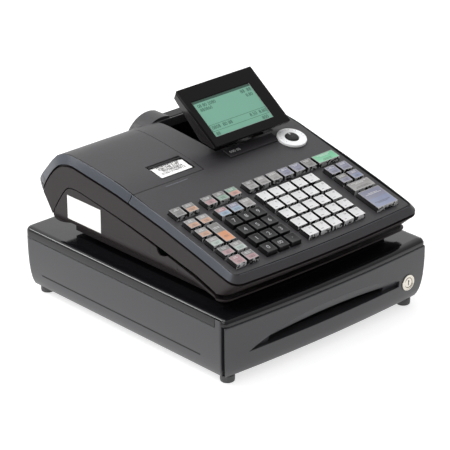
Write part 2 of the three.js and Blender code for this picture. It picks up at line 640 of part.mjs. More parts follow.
function customerWindow() {
  const { x, half, back, bottom, top } = HEAD;
  const reach = half - 7 - GAP;
  return block(x - reach, x + reach, back - 2 + GAP, back - 0.2, bottom + 8 + GAP, top - 9.5 - GAP);
}

// ---------------------------------------------------------------- keyboard
const MODE = { x: 136.5, y: 89.5, ring: 23.5, rotor: 10.5, height: 4 };
const STRIP = { x0: 17, x1: 117.5, y0: 95.8, y1: 115.4, height: 2 };

// Places a body given in the deck's own coordinates: x, distance up the slope, height above the deck.
function onDeck(body) {
  const place = new THREE.Matrix4().makeRotationX(DECK_ANGLE);
  place.setPosition(0, KEY_ORIGIN_Y, plane(KEY_ORIGIN_Y));
  return body.transform(place.elements);
}

// A key cell: left edge, row (0 is level with the department keys' first row), columns and rows it spans.
const cell = (x, row, wide = 1, tall = 1) => ({ x, row, wide, tall });
const COLUMN = { left: -164.7, numbers: -104.9, departments: -22.2, right: 118.2 };
const BACK_ROW = -1.28;
const column = (start, index) => start + index * PITCH.x;
const span = (start, count, row) => Array.from({ length: count }, (_, i) => cell(column(start, i), row));

const KEY_GROUPS = {
  department_keys: [0, 1, 2, 3, 4].flatMap((row) => span(COLUMN.departments, 5, row)),
  back_row_keys: [
    ...span(COLUMN.left, 2, BACK_ROW),
    ...span(COLUMN.numbers, 3, BACK_ROW),
    ...span(COLUMN.departments, 6, BACK_ROW),
  ],
  left_keys: [
    ...[0, 1, 2, 3, 4].map((row) => cell(COLUMN.left, row)),
    cell(column(COLUMN.left, 1), 0),
    cell(column(COLUMN.left, 1), 3),
    cell(column(COLUMN.left, 1), 4),
  ],
  upper_number_keys: span(COLUMN.numbers, 3, 0),
  right_keys: [0, 1].flatMap((row) => span(COLUMN.right, 2, row)),
};

const SINGLE_KEYS = {
  feed_key: cell(column(COLUMN.left, 1), 1, 1, 2),
  green_key: cell(COLUMN.right + 2.6, BACK_ROW, 2, 1),
  subtotal_key: cell(COLUMN.right, 2, 2, 1),
  total_key: cell(COLUMN.right, 3, 2, 2),
};
const NUMBER_NAMES = [["7", "8", "9"], ["4", "5", "6"], ["1", "2", "3"], ["0", "00", "point"]];
NUMBER_NAMES.forEach((row, r) => {
  row.forEach((label, c) => {
    SINGLE_KEYS[`number_key_${label}`] = cell(column(COLUMN.numbers, c), r + 1);
  });
});

function keyCells() {
  return [...Object.values(KEY_GROUPS).flat(), ...Object.values(SINGLE_KEYS)];
}

// The deck box of a cell whose sides stand back by half of the difference between the pitch and its width.
function cellBox({ x, row, wide, tall }, grow, z0, z1) {
  const middle = [
    x + KEY.top / 2 + ((wide - 1) * PITCH.x) / 2,
    -(row * PITCH.y + KEY.top / 2 + ((tall - 1) * PITCH.y) / 2),
  ];
  const width = wide * PITCH.x + grow;
  const depth = tall * PITCH.x + (tall - 1) * (PITCH.y - PITCH.x) + grow;
  return [middle[0] - width / 2, middle[0] + width / 2, middle[1] - depth / 2, middle[1] + depth / 2, z0, z1];
}

function keyCap(key) {
  const [x0, x1, y0, y1] = cellBox(key, KEY.base - PITCH.x, 0, 1);
  const taper = KEY.base - KEY.top;
  const above = frustum((x0 + x1) / 2, (y0 + y1) / 2, x1 - x0, y1 - y0, taper, 0, KEY.rise);
  return above.add(block(x0, x1, y0, y1, -KEY.below, 0.01));
}

function singleKey(key) {
  const flange = block(...cellBox(key, KEY.flange - PITCH.x, -KEY.below, -KEY.below + 1.6));
  return onDeck(keyCap(key).add(flange));
}

// Keys of one field stand on a common web under the deck, and so move together.
function keyField(cells) {
  let body = null;
  for (const key of cells) {
    const cap = keyCap(key);
    const web = block(...cellBox(key, 0.8, -KEY.below, -KEY.below + 1.6));
    body = body ? body.add(cap).add(web) : cap.add(web);
  }
  return body;
}

// Joins the fields of the back row, which stand apart, with narrow bars.
function backRow() {
  const y = -BACK_ROW * PITCH.y - KEY.top / 2;
  const bar = block(COLUMN.left, column(COLUMN.departments, 5), y - 3, y + 3, -KEY.below, -KEY.below + 1.6);
  return keyField(KEY_GROUPS.back_row_keys).add(bar);
}

function leftField() {
  const middle = column(COLUMN.left, 0) + KEY.top / 2;
  const bar = block(middle - 3, middle + 3, -4 * PITCH.y, -5, -KEY.below, -KEY.below + 1.6);
  return keyField(KEY_GROUPS.left_keys).add(bar);
}

function switchBoard() {
  const y0 = -5 * PITCH.y - 2;
  const y1 = (1 - BACK_ROW) * PITCH.y - 18;
  return onDeck(block(-168, 168, y0, y1, -16, -14.4));
}

function modeRing() {
  const disc = rod("z", MODE.ring, MODE.height, MODE.x, MODE.y, MODE.height / 2 + GAP, 48);
  return onDeck(disc.subtract(rod("z", MODE.rotor + 0.5, FAR, MODE.x, MODE.y, 0, 32)));
}

function modeRotor() {
  const knob = rod("z", MODE.rotor, 9, MODE.x, MODE.y, 1.5, 32);
  const stem = rod("z", 3, 16, MODE.x, MODE.y, -8, 16);
  const notch = block(MODE.x - 1, MODE.x + 1, MODE.y + 3, MODE.y + 12, 5, 8);
  return onDeck(knob.add(stem).subtract(notch));
}

function nameStrip() {
  const { x0, x1, y0, y1, height } = STRIP;
  const plate = frustum((x0 + x1) / 2, (y0 + y1) / 2, x1 - x0, y1 - y0, 1.2, GAP, height + GAP);
  return onDeck(plate.subtract(rod("z", MODE.ring + GAP, 20, MODE.x, MODE.y, 0, 48)));
}

// ---------------------------------------------------------------- looks
const LOOKS = {
  casing: { color: 0x4a484b, roughness: 0.5, metalness: 0 },
  cabinet: { color: 0x4e4e52, roughness: 0.35, metalness: 0 },
  gloss: { color: 0x161517, roughness: 0.2, metalness: 0 },
  rubber: { color: 0x1c1c1c, roughness: 0.85, metalness: 0 },
  steel: { color: 0x9b9da0, roughness: 0.35, metalness: 0.9 },
  chrome: { color: 0xd5d2cb, roughness: 0.18, metalness: 1 },
  tray: { color: 0x232325, roughness: 0.6, metalness: 0 },
  paper: { color: 0xf4f3ef, roughness: 0.8, metalness: 0 },
  board: { color: 0x1f5a37, roughness: 0.5, metalness: 0 },
  screen: { color: 0x7db89f, roughness: 0.25, metalness: 0 },
  white: { color: 0xe9e8e6, roughness: 0.4, metalness: 0 },
  black: { color: 0x1d1c1e, roughness: 0.45, metalness: 0 },
  clear: { color: 0xbdb9b6, roughness: 0.2, metalness: 0 },
  green: { color: 0x8fcfa4, roughness: 0.25, metalness: 0 },
  blue: { color: 0xa7a9c4, roughness: 0.25, metalness: 0 },
};

// ---------------------------------------------------------------- assembly
const register = new THREE.Group();
register.position.y = CENTRE_SHIFT;

function put(name, body, look) {
  const mesh = new THREE.Mesh(geometryOf(body), new THREE.MeshStandardMaterial(LOOKS[look]));
  mesh.name = name;
  register.add(mesh);
}

put("cabinet_shell", cabinetShell(), "cabinet");
put("cabinet_cover", cabinetCover(), "cabinet");
for (const [side, sx] of [["left", -1], ["right", 1]]) {
  for (const [end, sy] of [["front", -1], ["rear", 1]]) {
    const x = sx * (CABINET.half - FOOT.inset);
    const y = sy > 0 ? CABINET.back - FOOT.inset : BAY.front + 12;
    put(`foot_${end}_${side}`, foot(x, y), "rubber");
  }
  put(`slide_rail_${side}`, slideRail(sx), "steel");
}
put("drawer_latch", drawerLatch(), "steel");
put("drawer_front", drawerFront(), "cabinet");
put("drawer_tray", drawerTray(), "steel");
put("cash_insert", cashInsert(), "tray");
BILLS.forEach(({ x }, i) => put(`bill_clip_${i + 1}`, billClip(x), "steel"));
put("lock_body", lockBody(), "chrome");
put("lock_cylinder", lockCylinder(), "chrome");

put("lower_case", lowerCase(), "casing");
put("middle_case", middleCase(), "casing");
put("top_case", topCase(), "casing");
put("printer_cover", printerCover(), "casing");
put("power_inlet", powerInlet(), "black");
put("printer_mechanism", printerMechanism(), "black");
put("platen_roller", platenRoller(), "rubber");
put("paper_roll", paperRoll(), "paper");
put("receipt_paper", receiptPaper(), "paper");
put("main_board", mainBoard(), "board");
put("key_switch_board", switchBoard(), "board");

put("display_neck", displayNeck(), "gloss");
put("display_back", displayBack(), "gloss");
put("display_bezel", displayBezel(), "gloss");
put("display_panel", displayPanel(), "screen");
put("customer_display_mast", customerMast(), "gloss");
put("customer_display_head", customerHead(), "gloss");
put("customer_display_window", customerWindow(), "gloss");

put("mode_ring", modeRing(), "white");
put("mode_rotor", modeRotor(), "black");
put("name_strip", nameStrip(), "casing");
put("department_keys", onDeck(keyField(KEY_GROUPS.department_keys)), "white");
put("back_row_keys", onDeck(backRow()), "clear");
put("left_keys", onDeck(leftField()), "clear");
put("upper_number_keys", onDeck(keyField(KEY_GROUPS.upper_number_keys)), "blue");
put("right_keys", onDeck(keyField(KEY_GROUPS.right_keys)), "blue");
for (const [name, key] of Object.entries(SINGLE_KEYS)) {
  const look = name.startsWith("number") ? "black" : name === "green_key" ? "green" : "clear";
  put(name, singleKey(key), look);
}

export default register;
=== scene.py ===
"""An electronic cash register on its cash drawer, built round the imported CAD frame."""
import json
import math
import random

import bmesh
import bpy
from mathutils import Matrix, Vector

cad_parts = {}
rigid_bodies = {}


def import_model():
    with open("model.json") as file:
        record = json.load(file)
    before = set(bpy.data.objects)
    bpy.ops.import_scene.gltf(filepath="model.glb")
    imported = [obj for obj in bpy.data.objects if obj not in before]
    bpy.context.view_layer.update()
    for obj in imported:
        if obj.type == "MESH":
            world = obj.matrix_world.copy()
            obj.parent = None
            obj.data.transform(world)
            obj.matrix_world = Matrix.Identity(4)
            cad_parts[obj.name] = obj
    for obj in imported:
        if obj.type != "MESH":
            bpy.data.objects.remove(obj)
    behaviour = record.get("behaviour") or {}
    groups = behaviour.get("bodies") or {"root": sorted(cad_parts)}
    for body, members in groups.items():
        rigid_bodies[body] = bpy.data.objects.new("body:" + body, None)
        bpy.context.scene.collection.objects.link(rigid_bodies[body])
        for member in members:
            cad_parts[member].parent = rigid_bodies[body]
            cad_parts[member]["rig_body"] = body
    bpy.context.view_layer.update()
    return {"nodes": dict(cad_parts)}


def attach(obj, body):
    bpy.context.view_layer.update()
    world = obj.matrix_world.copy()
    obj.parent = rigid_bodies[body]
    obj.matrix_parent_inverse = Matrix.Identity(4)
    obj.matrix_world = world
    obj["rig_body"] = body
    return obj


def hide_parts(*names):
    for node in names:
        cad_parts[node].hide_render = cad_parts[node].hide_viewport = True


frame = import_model()

# ---------------------------------------------------------------- dimensions, in millimetres
# A box is six numbers: x from and to, y from and to, z from and to.
MM = 0.001
SHIFT_Y = 3.55  # from the drawing's datum to the middle of the footprint
DECK_ANGLE = math.radians(14.4)
DECK_SLOPE = math.tan(DECK_ANGLE)
DECK_AT_DATUM = 223.57  # height of the deck's plane at y 0
BODY_HALF, BODY_FRONT, BODY_BOW = 188.0, 227.0, 5.0  # outline of the upper casing
BACK_PANEL_FOOT, BACK_PANEL_RUN, BACK_PANEL_RISE = (0, 172, 138), 20.2, 31.0

# Insets from the casing's outline at which the bands of its rim begin and end.
BEVEL_END, LIP_START, LIP_END, GROOVE_END = 8.1, 7.9, 9.05, 11.2
GROOVE_DEPTH = 2.5
BEVEL_LEAST, BEVEL_MOST, LIP_LEAST, GROOVE_LEAST = 0.2, 0.93, 0.8, -0.5  # upward share of the normal
FRONT_FACING = -0.5
BANDED = ("top_case", "printer_cover")

# Keys: a cell's pitch, the size of a cap's top and foot, and its heights from the deck.
KEY_ORIGIN_Y = -92.6
PITCH_X, PITCH_Y = 23.8, 24.4
KEY_TOP, KEY_BASE, KEY_RISE, KEY_FOOT = 19.2, 20.4, 7.3, -6.5
KEY_ROUNDING, INSERT_RIM, INSERT_DEPTH, INSERT_SPLIT = 0.8, 0.45, 0.15, 0.4
INSERT_LEAST_AREA = 20
KEY_UPRIGHT, KEY_LEVEL, KEY_FRONT_FACING = 0.45, 0.99, -0.6  # shares of a cap's normal
PRINT_DEPTH = 0.12
PRINT_LEVEL = KEY_RISE - 0.12
DIGIT_SIZE, TWO_DIGIT_SIZE = 11.0, 9.0
BAR_PITCH, BAR_HALF, BAR_SHARES = 2.3, 0.35, (0.45, 0.95)
BAR_LEVELS = (PRINT_LEVEL - 0.05, PRINT_LEVEL + 0.06)
KEY_INK, KEY_PALE = 3, 4  # places of the two print colours in a key field's materials
BACK_ROW = -1.28
COLUMN_LEFT, COLUMN_NUMBERS, COLUMN_DEPARTMENTS, COLUMN_RIGHT = -164.7, -104.9, -22.2, 118.2
GREEN_KEY_OFFSET = 2.6

MODE_X, MODE_S, MODE_RING, MODE_ROTOR = 136.5, 89.5, 23.5, 10.5
MODE_FACE = 4.4
MODE_PLACES, MODE_FIRST, MODE_STEP = 14, 200, 17  # numbered places of the ring, in degrees
LOCK_X, LOCK_Z = 166.0, 47.6
FLANGE_FACE, ROTOR_FACE = 228.7, 228.2

SCREEN = (-65.0, 53.0, 15.5, 83.5)  # left, right, low and high edge of the pane
SCREEN_FACE = -1.6
SCREEN_BOX = (25.5, 37.0)  # low and high rule of the totals' frame
DISPLAY_LEAN = math.radians(35.5)
DISPLAY_FOOT = (68.0, 4.5, 247.6)

PAPER_X, PAPER_DROP = -81.0, 1.6
PRINT_ROWS, PRINT_COLUMNS, PRINT_SIZE, PRINT_START, PRINT_PITCH = 5, 13, 7.0, 13.5, 5.6
TEAR_TEETH, TEAR_HALF, TEAR_Y, TEAR_BACK, TOOTH_WIDTH, TOOTH_REACH = 30, 31.5, 39.8, 42.6, 2.1, 1.6
TEAR_LOW, TEAR_HIGH = -0.6, 0.2

SIDE_LABEL = (-187.95, -187.6, 61.5, 138.0, 143.8, 181.4)
# Dark patch on the deck under and around the name strip: painted shadow.
STRIP_SHADOW = (16.0, 112.0, 94.7, 115.8, -0.3, 0.5)
CASE_JOINTS = ((-48.0, 148.0, 164.0), (-106.0, 141.0, 150.0))  # y, low and high end
CASE_JOINT_X, CASE_JOINT_HALF = (-187.72, -187.5), 0.6
CABINET_GROOVE_X, CABINET_GROOVE = (202.2, 202.75), (-170, 187, 35.2, 36.6)
COVER_LEFT, COVER_RIGHT, COVER_FRONT_Y, COVER_REAR_Y = -176.5, -40.85, -2.0, 21.5
RIB_X, RIB_Y, RIB_HALF = (-122, -79), -9.5, 0.6
WELL_WALL = (31.8, 128.4, 183.0, 184.6, 168.0, 200.0)
WELL_FLOOR = (176.0, 177.0)
WELL_FLOOR_PARTS = (
    (31.8, 70.2, 154.5, 182.5),
    (89.8, 128.4, 154.5, 182.5),
    (70.2, 89.8, 154.5, 158.2),
    (70.2, 89.8, 177.8, 182.5),
)
SLOT_COLUMNS, SLOT_LEFT, SLOT_PITCH, SLOT_WIDTH, SLOT_TALL = 9, 40, 12, 8, 1.6
SLOT_ROWS = (5.0, 9.0, 13.0)
SCREW_X, SCREW_Y, SCREW_RADIUS, SCREW_LOW, SCREW_HIGH = 150, 140, 4.2, 11.2, 12.1


def deck_plane(y):
    """Height of the key deck at a place y from the datum."""
    return DECK_AT_DATUM + DECK_SLOPE * y


def deck_run(y):
    """Distance up the deck from the keyboard's origin to a place y from the datum."""
    return (y - KEY_ORIGIN_Y) / math.cos(DECK_ANGLE)


def leaning(foot, angle):
    """The plane that starts at foot, a place from the datum, and leans back by angle."""
    return WORLD @ Matrix.Translation(foot) @ Matrix.Rotation(angle, 4, "X")


WORLD = Matrix.Scale(MM, 4) @ Matrix.Translation((0, SHIFT_Y, 0))
DECK = leaning((0, KEY_ORIGIN_Y, deck_plane(KEY_ORIGIN_Y)), DECK_ANGLE)
BACK_PANEL = leaning(BACK_PANEL_FOOT, math.atan2(BACK_PANEL_RISE, BACK_PANEL_RUN))
DISPLAY = leaning(DISPLAY_FOOT, DISPLAY_LEAN)


# ---------------------------------------------------------------- materials
def srgb(red, green, blue):
    """Linear colour of a screen colour from 0 to 255."""
    shares = [value / 255 for value in (red, green, blue)]
    linear = [v / 12.92 if v <= 0.04045 else ((v + 0.055) / 1.055) ** 2.4 for v in shares]
    return (*linear, 1.0)


def scaled(colour, factor):
    """The colour made darker or lighter by a factor."""
    return (*[min(value * factor, 1.0) for value in colour[:3]], 1.0)


COAT_ROUGHNESS = 0.06
LEAST_ROUGHNESS = 0.02


def surface(name, colour, roughness, metallic=0.0, coat=0.0, mottle=0.06, cloud=30.0, spread=0.05,
            grain=0.0, grain_size=0.7, stretch=(1, 1, 1), specular=0.5, glow=0.0):
    """A material whose colour, roughness and relief vary a little over the surface.

    mottle is the share by which the colour varies, cloud the scale of its patches, spread the amount by
    which the roughness varies, grain the relief's height in millimetres, grain_size the size of its cells,
    and stretch the pattern's scale along each axis."""
    material = bpy.data.materials.new(name)
    material.use_nodes = True
    material.diffuse_color = colour
    nodes, links = material.node_tree.nodes, material.node_tree.links
    shader = nodes["Principled BSDF"]
    shader.inputs["Metallic"].default_value = metallic
    shader.inputs["Coat Weight"].default_value = coat
    shader.inputs["Coat Roughness"].default_value = COAT_ROUGHNESS
    shader.inputs["Specular IOR Level"].default_value = specular
    place = nodes.new("ShaderNodeTexCoord")
    mapping = nodes.new("ShaderNodeMapping")
    mapping.inputs["Scale"].default_value = stretch
    links.new(place.outputs["Object"], mapping.inputs["Vector"])

    clouds = nodes.new("ShaderNodeTexNoise")
    clouds.inputs["Scale"].default_value = cloud
    clouds.inputs["Detail"].default_value = 5.0
    links.new(mapping.outputs["Vector"], clouds.inputs["Vector"])
    tint = nodes.new("ShaderNodeMix")
    tint.data_type = "RGBA"
    tint.inputs[6].default_value = scaled(colour, 1 - mottle)
    tint.inputs[7].default_value = scaled(colour, 1 + mottle)
    links.new(clouds.outputs["Fac"], tint.inputs[0])
    links.new(tint.outputs[2], shader.inputs["Base Color"])
    rough = nodes.new("ShaderNodeMapRange")
    rough.inputs["To Min"].default_value = max(roughness - spread, LEAST_ROUGHNESS)
    rough.inputs["To Max"].default_value = min(roughness + spread, 1.0)
    links.new(clouds.outputs["Fac"], rough.inputs["Value"])
    links.new(rough.outputs["Result"], shader.inputs["Roughness"])
    if glow:
        links.new(tint.outputs[2], shader.inputs["Emission Color"])
        shader.inputs["Emission Strength"].default_value = glow
    if grain:
        cells = nodes.new("ShaderNodeTexNoise")
        cells.inputs["Scale"].default_value = 1 / MM / grain_size
        cells.inputs["Detail"].default_value = 2.0
        links.new(mapping.outputs["Vector"], cells.inputs["Vector"])
        bump = nodes.new("ShaderNodeBump")
        bump.inputs["Strength"].default_value = 1.0
        bump.inputs["Distance"].default_value = grain * MM
        links.new(cells.outputs["Fac"], bump.inputs["Height"])
        links.new(bump.outputs["Normal"], shader.inputs["Normal"])
    return material


CASING = surface("casing_plastic", srgb(42, 40, 43), 0.42, grain=0.11, grain_size=0.8, mottle=0.12)
# Darker, browner copy of the casing plastic for the lower and middle mouldings: their own brownish tone,
# darkened as painted shade on the sides.
CASING_SIDE_SHADED = surface("casing_side_painted_shade", srgb(37, 31, 32), 0.48, grain=0.06, grain_size=0.8,
                      specular=0.26)
# Lighter, bluer copy of the casing plastic for the side bevels: a painted highlight of the light they catch.
BEVEL = surface("bevel_painted_highlight", srgb(50, 55, 64), 0.34, grain=0.07, grain_size=1.1,
                stretch=(1, 0.25, 1), mottle=0.16)
# Brighter copy of the casing plastic for the lip along the bevel's upper edge: a painted highlight line.
LIP_HIGHLIGHT = surface("lip_painted_highlight", srgb(92, 96, 104), 0.22, coat=0.3, mottle=0.2)
CABINET = surface("cabinet_plastic", srgb(50, 50, 53), 0.30, grain=0.02, grain_size=1.4)
COVER_TOP = surface("cover_plastic", srgb(15, 15, 18), 0.13, coat=0.2, spread=0.04, specular=0.3)
STRIP = surface("strip_plastic", srgb(52, 50, 53), 0.22, grain=0.03, mottle=0.1)
GLOSS = surface("gloss_black", srgb(20, 17, 18), 0.14, coat=0.3, spread=0.03, specular=0.4)
BEZEL = surface("bezel_black", srgb(14, 12, 13), 0.2, spread=0.03, specular=0.12)
# Dark plastic; also the painted shade in the upper casing's groove and the painted shadow under the name
# strip.
DARK = surface("dark_plastic_and_painted_shade", srgb(14, 14, 15), 0.45, grain=0.04, specular=0.3)
RUBBER = surface("rubber", srgb(24, 24, 24), 0.8, grain=0.15, grain_size=0.6)
FOOT = surface("foot_rubber", srgb(62, 62, 63), 0.5, grain=0.08, grain_size=0.6)
STEEL = surface("zinc_plated_steel", srgb(176, 177, 178), 0.34, metallic=0.9, stretch=(1, 12, 12),
                mottle=0.12, spread=0.1)
CHROME = surface("chrome", srgb(214, 208, 198), 0.16, metallic=1.0, spread=0.05)
INSERT = surface("insert_plastic", srgb(44, 44, 46), 0.55, grain=0.08, grain_size=0.9)
PAPER = surface("thermal_paper", srgb(240, 240, 238), 0.75, mottle=0.015, grain=0.03, specular=0.3)
BOARD = surface("circuit_board", srgb(34, 92, 58), 0.45, mottle=0.2, cloud=120)
WHITE = surface("white_plastic", srgb(240, 241, 242), 0.30, coat=0.4, mottle=0.02)
INK = surface("grey_ink", srgb(96, 95, 95), 0.7, mottle=0.15)
PRINT = surface("thermal_print", srgb(52, 50, 54), 0.7, mottle=0.15)
DIGIT = surface("white_print", srgb(206, 206, 206), 0.5, mottle=0.03)
KEY_DIGIT = surface("key_print", srgb(164, 164, 166), 0.5, mottle=0.05)
LCD = surface("liquid_crystal", srgb(106, 160, 139), 0.25, coat=0.4, mottle=0.03, glow=0.04)
LCD_INK = surface("liquid_crystal_dark", srgb(30, 74, 60), 0.25, coat=0.4, mottle=0.05, glow=0.02)

KEY_LOOKS = {
    "grey": (112, 111, 110),
    "pale": (136, 134, 133),
    "mint": (116, 142, 126),
    "pale mint": (152, 164, 158),
    "peach": (170, 134, 112),
    "orange": (186, 126, 88),
    "pink": (150, 118, 122),
    "salmon": (170, 128, 118),
    "lavender": (118, 119, 138),
    "blue": (116, 124, 150),
    "ice": (126, 146, 164),
    "green": (106, 176, 138),
    "white": (203, 203, 204),
}
KEY_FACE = {
    name: surface(f"key_{name.replace(' ', '_')}", srgb(*colour), 0.3, coat=0.3, mottle=0.12, cloud=260)
    for name, colour in KEY_LOOKS.items()
}
KEY_FACE["black"] = surface("key_black", srgb(18, 18, 20), 0.35, mottle=0.1, specular=0.3)
KEY_RIM = {
    "clear": surface("key_clear_rim", srgb(150, 149, 149), 0.25, coat=0.6, mottle=0.06),
    "white": surface("key_white_rim", srgb(216, 216, 216), 0.3, coat=0.5, mottle=0.03),
    "black": surface("key_black_rim", srgb(15, 15, 17), 0.3, coat=0.2, mottle=0.05, specular=0.4),
}
# Near-black for the sides of clear and white keys: painted shade between the caps.
KEY_SIDE_SHADE = surface("key_clear_side", srgb(30, 29, 30), 0.25, coat=0.4, mottle=0.3, cloud=160)


STREAK_SCALE = 190.0
STREAK_EDGE = 0.05


def streaked(name, dark, pale, share):
    """Clear moulding, dark with painted highlights: pale streaks stand for the light it catches in places.

    share is the noise's level at which the dark places end."""
    material = surface(name, dark, 0.2, coat=0.6)
    nodes, links = material.node_tree.nodes, material.node_tree.links
    place = nodes.new("ShaderNodeTexCoord")
    noise = nodes.new("ShaderNodeTexNoise")
    noise.inputs["Scale"].default_value = STREAK_SCALE
    noise.inputs["Detail"].default_value = 1.0
    links.new(place.outputs["Object"], noise.inputs["Vector"])
    cut = nodes.new("ShaderNodeMapRange")
    cut.inputs["From Min"].default_value = share - STREAK_EDGE
    cut.inputs["From Max"].default_value = share + STREAK_EDGE
    links.new(noise.outputs["Fac"], cut.inputs["Value"])
    mix = nodes.new("ShaderNodeMix")
    mix.data_type = "RGBA"
    mix.inputs[6].default_value = dark
    mix.inputs[7].default_value = pale
    links.new(cut.outputs["Result"], mix.inputs[0])
    links.new(mix.outputs[2], nodes["Principled BSDF"].inputs["Base Color"])
    return material


# The front faces of clear and white keys: dark with painted highlight streaks.
KEY_FRONT_HIGHLIGHTS = streaked("key_clear_front", srgb(34, 33, 34), srgb(186, 186, 187), 0.49)


# ---------------------------------------------------------------- mesh helpers
TURNED = {"Z": Matrix.Identity(4), "Y": Matrix.Rotation(math.radians(90), 4, "X")}
SMOOTH_UNDER = math.radians(35)
RING_STEPS = 56


def add_object(name, mesh, materials, body, replaced=()):
    """Hangs a mesh on a body, in place of the CAD nodes that it replaces."""
    for material in materials:
        mesh.materials.append(material)
    piece = bpy.data.objects.new(name, mesh)
    bpy.context.scene.collection.objects.link(piece)
    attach(piece, body)
    if replaced:
        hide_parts(*replaced)
    return piece


def mesh_from(bm, name, place):
    """A smooth mesh in the shared frame, from one drawn in millimetres on the plane place."""
    mesh = bpy.data.meshes.new(name)
    bm.to_mesh(mesh)
    bm.free()
    mesh.transform(place)
    for polygon in mesh.polygons:
        polygon.use_smooth = True
    mesh.set_sharp_from_angle(angle=SMOOTH_UNDER)
    return mesh


def box(bm, x0, x1, y0, y1, z0, z1, material=0, bevel=0.0):
    """Adds a box, with its edges rounded when bevel is given."""
    middle = Matrix.Translation(((x0 + x1) / 2, (y0 + y1) / 2, (z0 + z1) / 2))
    size = Matrix.Diagonal((x1 - x0, y1 - y0, z1 - z0, 1))
    made = bmesh.ops.create_cube(bm, size=1.0, matrix=middle @ size)
    faces = {face for vert in made["verts"] for face in vert.link_faces}
    for face in faces:
        face.material_index = material
    if bevel:
        edges = {edge for vert in made["verts"] for edge in vert.link_edges}
        bmesh.ops.bevel(bm, geom=list(edges), offset=bevel, segments=2, affect="EDGES", profile=0.5)


def circle(radius, height, steps):
    """Places round an axis at one radius and height, or the one place on the axis."""
    if radius == 0:
        return [Vector((0, 0, height))]
    angles = [2 * math.pi * i / steps for i in range(steps)]
    return [Vector((radius * math.cos(angle), radius * math.sin(angle), height)) for angle in angles]


def lathe(bm, profile, centre, axis="Z", steps=48):
    """Adds a closed turned body: profile is a list of (radius, height) that starts and ends on the axis."""
    place = Matrix.Translation(centre) @ TURNED[axis]
    rings = [[bm.verts.new(place @ spot) for spot in circle(*corner, steps)] for corner in profile]
    for low, high in zip(rings, rings[1:]):
        for i in range(steps):
            j = (i + 1) % steps
            corners = [low[i % len(low)], low[j % len(low)], high[j % len(high)], high[i % len(high)]]
            unique = [v for k, v in enumerate(corners) if v not in corners[:k]]
            if len(unique) > 2:
                bm.faces.new(unique)


def ring(bm, section, centre, axis="Z"):
    """Adds a turned body with a hole: section is a closed outline of (radius, height)."""
    place = Matrix.Translation(centre) @ TURNED[axis]
    rims = [circle(*corner, RING_STEPS) for corner in section]
    loops = [[bm.verts.new(place @ rim[i]) for rim in rims] for i in range(RING_STEPS)]
    for now, after in zip(loops, loops[1:] + loops[:1]):
        for k in range(len(section)):
            m = (k + 1) % len(section)
            bm.faces.new((now[k], after[k], after[m], now[m]))
    bmesh.ops.recalc_face_normals(bm, faces=bm.faces)


LETTER_STEPS = 3


def lettering(bm, text, size, x, y, z, material=0, turn=0.0, depth=PRINT_DEPTH):
    """Adds raised lettering that lies flat on a plane of constant z, centred on x and y."""
    curve = bpy.data.curves.new("lettering", "FONT")
    curve.body = text
    curve.size = size
    curve.extrude = depth / 2
    curve.align_x = "CENTER"
    curve.align_y = "CENTER"
    curve.resolution_u = LETTER_STEPS
    holder = bpy.data.objects.new("lettering", curve)
    mesh = bpy.data.meshes.new_from_object(holder)
    mesh.transform(Matrix.Translation((x, y, z)) @ Matrix.Rotation(turn, 4, "Z"))
    start = len(bm.faces)
    bm.from_mesh(mesh)
    bm.faces.ensure_lookup_table()
    for face in bm.faces[start:]:
        face.material_index = material
    bpy.data.objects.remove(holder)
    bpy.data.curves.remove(curve)
    bpy.data.meshes.remove(mesh)


def rim_band(x, y, z, normal):
    """Material of an upper-casing face: 0 the deck's, 1 painted highlight on the side bevels, 2 painted
    highlight on the lip, 3 painted shade in the groove.
    """
    share = min(abs(x) / BODY_HALF, 1.0)
    inset = min(BODY_HALF - abs(x), y + BODY_FRONT + BODY_BOW * (1 - share ** 2))
    # Side bevels get the lighter, bluer copy as painted highlight; front-facing bevel faces keep the deck's
    # plastic.
    if inset < BEVEL_END and BEVEL_LEAST < normal.z < BEVEL_MOST:
        return 1 if normal.y > FRONT_FACING else 0
    # The lip gets a brighter copy as a painted highlight line.
    if LIP_START < inset < LIP_END and normal.z > LIP_LEAST:
        return 2
    # Groove faces get dark plastic as painted shade.
    in_groove = LIP_END < inset < GROOVE_END and z > deck_plane(y) - GROOVE_DEPTH
    return 3 if in_groove and normal.z > GROOVE_LEAST else 0


MERGE_UNDER = 2e-6  # metres
FLAT_UNDER, ROUND_OVER = math.radians(0.4), math.radians(28)


def refine(node, material, width):
    """A copy of a CAD node with its edges rounded to width, which stands for it."""
    source = frame["nodes"][node]
    bm = bmesh.new()
    bm.from_mesh(source.data)
    bmesh.ops.remove_doubles(bm, verts=bm.verts, dist=MERGE_UNDER)
    bmesh.ops.dissolve_limit(bm, angle_limit=FLAT_UNDER, verts=bm.verts, edges=bm.edges)
    bmesh.ops.triangulate(bm, faces=[face for face in bm.faces if len(face.verts) > 4])
    mesh = bpy.data.meshes.new(node + "_skin")
    bm.to_mesh(mesh)
    bm.free()
    banded = node in BANDED
    mesh.materials.clear()
    for polygon in mesh.polygons:
        x, y, z = polygon.center / MM
        polygon.use_smooth = True
        polygon.material_index = rim_band(x, y - SHIFT_Y, z, polygon.normal) if banded else 0
    # Banded skins add the bevels' and the lip's painted highlights and the groove's painted shade.
    materials = [material, BEVEL, LIP_HIGHLIGHT, DARK] if banded else [material]
    piece = add_object(node + "_skin", mesh, materials, source["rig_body"], [node])
    bevel = piece.modifiers.new("round", "BEVEL")
    bevel.width = width * MM
    bevel.segments = 2
    bevel.limit_method = "ANGLE"
    bevel.angle_limit = ROUND_OVER
    bevel.use_clamp_overlap = False
    weighted = piece.modifiers.new("shade", "WEIGHTED_NORMAL")
    weighted.keep_sharp = False
    return piece


